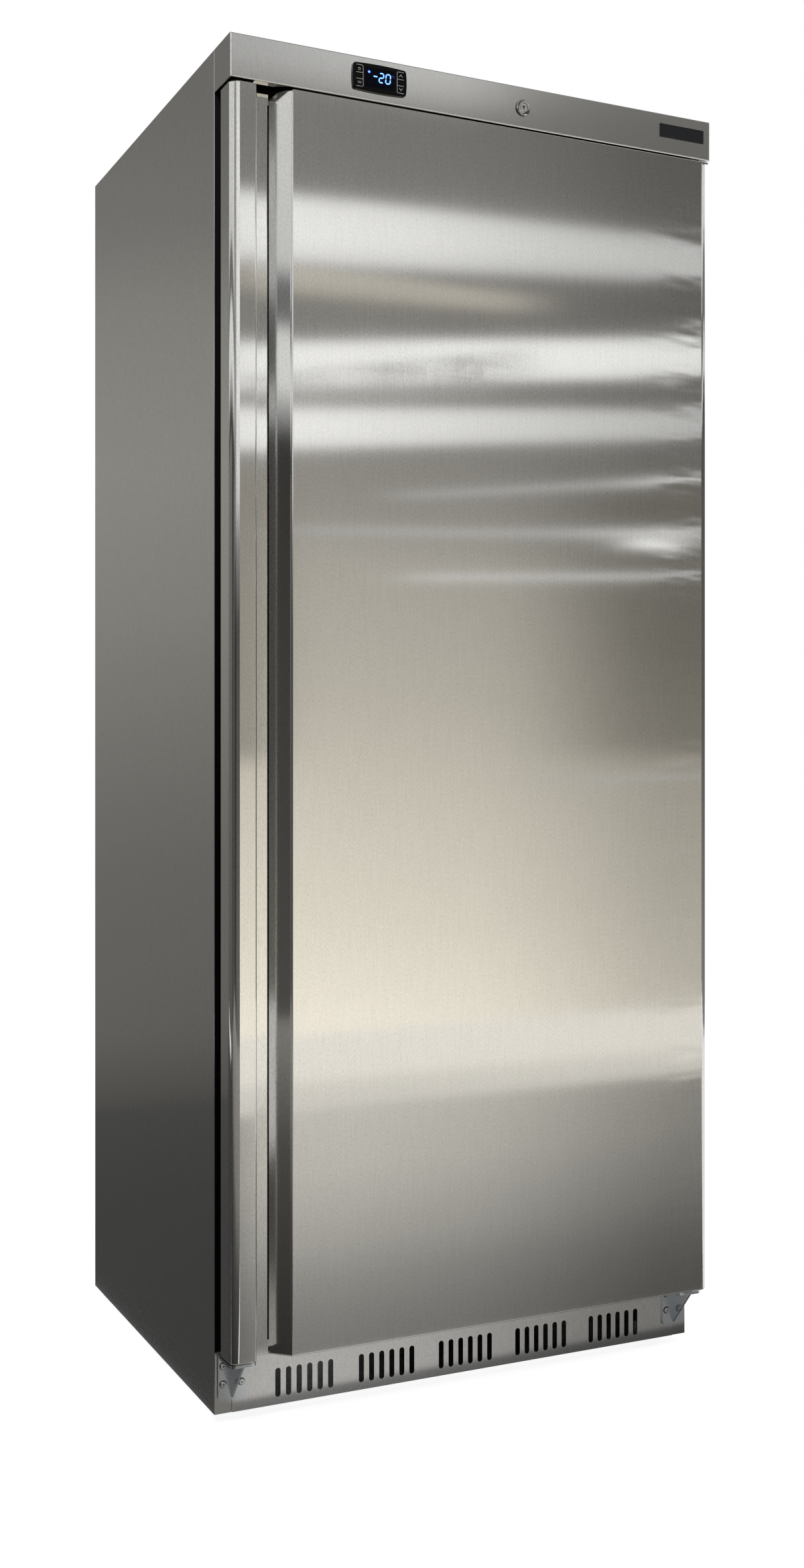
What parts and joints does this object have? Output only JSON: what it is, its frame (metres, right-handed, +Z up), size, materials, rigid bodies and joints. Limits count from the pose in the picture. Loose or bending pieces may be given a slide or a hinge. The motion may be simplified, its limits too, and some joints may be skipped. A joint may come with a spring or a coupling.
{
  "type": "upright freezer",
  "caption": "Tall stainless upright freezer with a full-height door, side grip, lock, controller and slotted kick panel; cold coil shelves inside.",
  "frame": {"origin": "on the floor, under the middle of the cabinet's width and of its depth from the fascia's front to the back panel, with the feet screwed right in", "axes": "+X to the right seen from the front, +Y from the door to the back, +Z up"},
  "size_m": [0.777, 0.6993, 1.895],
  "materials": {
    "case_steel": "fine horizontal satin grain",
    "fascia_steel": "fine horizontal satin grain",
    "door_steel": "fine horizontal satin grain",
    "kick_steel": "satin",
    "galvanised_sheet": "galvanised",
    "foam": "rigid closed-cell foam",
    "liner_white": "satin moulded plastic",
    "frame_plastic": "extruded plastic",
    "foot_plastic": "moulded plastic",
    "zinc_steel": "bright zinc plate",
    "pin_steel": "bright zinc plate",
    "badge_dark": "satin plate left blank",
    "controller_black": "glossy moulded plastic",
    "display_dark": "glossy lens",
    "lock_nickel": "nickel plate",
    "seal_grey": "soft extruded seal",
    "strike_plastic": "moulded plastic",
    "shelf_white": "white coated steel",
    "clip_white": "moulded plastic",
    "fan_grey": "moulded plastic",
    "fan_aluminium": "pressed sheet",
    "machine_black": "black enamel",
    "mount_rubber": "moulded rubber",
    "cover_black": "moulded plastic",
    "copper": "drawn copper"
  },
  "bodies": {
    "cabinet": {"back_panel": "galvanised_sheet", "badge_plate": "badge_dark", "base_pan": "galvanised_sheet", "bracket_lower_left": "zinc_steel", "bracket_lower_right": "zinc_steel", "bracket_screws": "pin_steel", "cable_gland": "cover_black", "compressor": "machine_black", "compressor_mounts": "mount_rubber", "compressor_terminals": "cover_black", "condenser": "fan_aluminium", "condenser_fan_motor": "machine_black", "condenser_fan_shroud": "machine_black", "controller_housing": "controller_black", "display_lens": "display_dark", "evaporator_risers": "shelf_white", "evaporator_shelf_1": "shelf_white", "evaporator_shelf_2": "shelf_white", "evaporator_shelf_3": "shelf_white", "evaporator_shelf_4": "shelf_white", "evaporator_shelf_5": "shelf_white", "evaporator_shelf_6": "shelf_white", "fascia": "fascia_steel", "filter_drier": "copper", "front_frame": "frame_plastic", "hinge_bracket_top": "zinc_steel", "hinge_pin_lower": "pin_steel", "hinge_pin_upper": "pin_steel", "inner_fan_housing": "clip_white", "inner_fan_motor": "machine_black", "inner_liner": "liner_white", "insulation": "foam", "kick_grille": "kick_steel", "lock_barrel": "lock_nickel", "machine_bulkhead": "galvanised_sheet", "rear_cover": "galvanised_sheet", "refrigerant_pipes": "copper", "shelf_clips": "clip_white", "side_panel_left": "case_steel", "side_panel_right": "case_steel", "top_panel": "case_steel"},
    "door": {"door_skin": "door_steel", "door_liner": "liner_white", "door_foam": "foam", "door_gasket": "seal_grey", "door_strike": "strike_plastic", "hinge_bush_lower": "strike_plastic", "hinge_bush_upper": "strike_plastic"},
    "lock_plug": {"lock_plug": "lock_nickel"},
    "key_upper_left": {"key_upper_left": "controller_black"},
    "key_lower_left": {"key_lower_left": "controller_black"},
    "key_up": {"key_up": "controller_black"},
    "key_down": {"key_down": "controller_black"},
    "inner_fan": {"inner_fan_blade": "fan_grey"},
    "condenser_fan": {"condenser_fan_blade": "fan_aluminium"},
    "foot_front_left": {"foot_front_left": "foot_plastic"},
    "foot_front_right": {"foot_front_right": "foot_plastic"},
    "foot_back_left": {"foot_back_left": "foot_plastic"},
    "foot_back_right": {"foot_back_right": "foot_plastic"}
  },
  "joints": [
    {"name": "door_hinge", "type": "hinge", "parent": "cabinet", "child": "door", "pos_m": [0.364, -0.32, 0], "axis": [0, 0, 1], "range_deg": [0, 120]},
    {"name": "lock_turn", "type": "hinge", "parent": "cabinet", "child": "lock_plug", "pos_m": [0.06, -0.33, 1.8642], "axis": [0, 1, 0], "range_deg": [0, 90]},
    {"name": "inner_fan_spin", "type": "hinge", "parent": "cabinet", "child": "inner_fan", "pos_m": [0, 0.242, 1.65], "axis": [0, 1, 0], "continuous": true},
    {"name": "condenser_fan_spin", "type": "hinge", "parent": "cabinet", "child": "condenser_fan", "pos_m": [0.15, 0.232, 0.1187], "axis": [0, 1, 0], "continuous": true},
    {"name": "key_upper_left_press", "type": "slide", "parent": "cabinet", "child": "key_upper_left", "axis": [0, 1, 0], "range_m": [0, 0.001], "stiffness_N_per_m": 1000, "springref_m": -0.0005},
    {"name": "key_lower_left_press", "type": "slide", "parent": "cabinet", "child": "key_lower_left", "axis": [0, 1, 0], "range_m": [0, 0.001], "stiffness_N_per_m": 1000, "springref_m": -0.0005},
    {"name": "key_up_press", "type": "slide", "parent": "cabinet", "child": "key_up", "axis": [0, 1, 0], "range_m": [0, 0.001], "stiffness_N_per_m": 1000, "springref_m": -0.0005},
    {"name": "key_down_press", "type": "slide", "parent": "cabinet", "child": "key_down", "axis": [0, 1, 0], "range_m": [0, 0.001], "stiffness_N_per_m": 1000, "springref_m": -0.0005},
    {"name": "foot_front_left_screw", "type": "slide", "parent": "cabinet", "child": "foot_front_left", "axis": [0, 0, -1], "range_m": [0, 0.015]},
    {"name": "foot_front_right_screw", "type": "slide", "parent": "cabinet", "child": "foot_front_right", "axis": [0, 0, -1], "range_m": [0, 0.015]},
    {"name": "foot_back_left_screw", "type": "slide", "parent": "cabinet", "child": "foot_back_left", "axis": [0, 0, -1], "range_m": [0, 0.015]},
    {"name": "foot_back_right_screw", "type": "slide", "parent": "cabinet", "child": "foot_back_right", "axis": [0, 0, -1], "range_m": [0, 0.015]}
  ]
}
